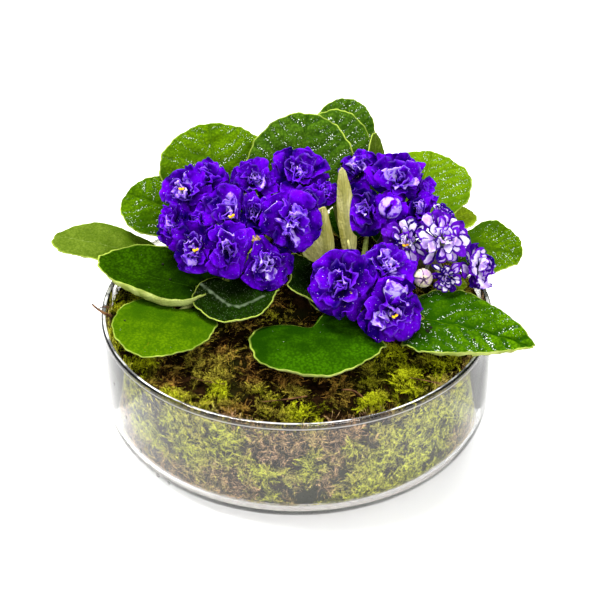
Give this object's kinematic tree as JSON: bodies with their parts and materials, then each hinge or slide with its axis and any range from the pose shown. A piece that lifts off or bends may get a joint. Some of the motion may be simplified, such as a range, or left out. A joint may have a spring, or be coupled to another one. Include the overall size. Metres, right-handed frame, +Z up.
{
  "type": "african violets in a glass dish",
  "caption": "Round glass dish filled with moss, planted with african violets: notched fuzzy leaves under domed clusters of ruffled purple and white double flowers.",
  "frame": {"origin": "centre of the dish's flat underside, where it rests on a table", "axes": "+Z up, +X to the right and -Y towards the viewer, as the picture shows the planting"},
  "size_m": [0.2965, 0.2538, 0.1601],
  "materials": {
    "glass": "clear, polished",
    "moss": "matte, fibrous",
    "crown": "matte, fuzzy",
    "leaf": "satin, quilted, hairy edge",
    "leaf_pale": "matte, downy",
    "stalk": "matte, downy",
    "petal_purple": "satin, velvety",
    "petal_mixed": "satin, velvety",
    "bud": "matte, downy"
  },
  "bodies": {
    "root": {"glass_dish": "glass", "moss_bed": "moss", "crown_left": "crown", "crown_right": "crown", "crown_back": "crown", "leaf_far_left": "leaf", "leaf_left": "leaf", "leaf_front_left": "leaf", "leaf_under_left": "leaf", "leaf_front": "leaf", "leaf_right": "leaf", "leaf_right_back": "leaf", "leaf_right_tiny": "leaf", "leaf_right_small": "leaf", "leaf_back_right": "leaf", "leaf_back_top": "leaf", "leaf_back_middle": "leaf", "leaf_back_main": "leaf", "leaf_back_left": "leaf", "leaf_left_back": "leaf", "leaf_edge_on": "leaf", "leaf_upright_tall": "leaf_pale", "leaf_upright_short": "leaf_pale", "leaf_middle_dark": "leaf", "leaf_middle_small": "leaf", "leaf_rear_low_left": "leaf", "leaf_rear_low_right": "leaf", "stalks_left": "stalk", "stalks_right": "stalk", "stalks_back": "stalk", "stalks_front": "stalk", "bloom_left_a": "petal_purple", "bloom_left_b": "petal_purple", "bloom_left_c": "petal_purple", "bloom_left_d": "petal_purple", "bloom_left_e": "petal_purple", "bloom_left_f": "petal_purple", "bloom_left_g": "petal_purple", "bloom_left_h": "petal_purple", "bloom_left_i": "petal_purple", "bloom_left_j": "petal_purple", "bloom_left_k": "petal_purple", "bloom_left_l": "petal_purple", "bloom_left_m": "petal_purple", "bloom_left_n": "petal_purple", "bloom_right_a": "petal_purple", "bloom_right_b": "petal_purple", "bloom_right_c": "petal_purple", "bloom_right_d": "petal_purple", "bloom_right_e": "petal_purple", "bloom_right_f": "petal_purple", "bloom_mixed_a": "petal_mixed", "bloom_mixed_b": "petal_mixed", "bloom_mixed_c": "petal_mixed", "bloom_mixed_d": "petal_mixed", "bloom_mixed_e": "petal_mixed", "bloom_front_a": "petal_purple", "bloom_front_b": "petal_purple", "bloom_front_c": "petal_purple", "mixed_bud": "bud"}
  },
  "joints": []
}
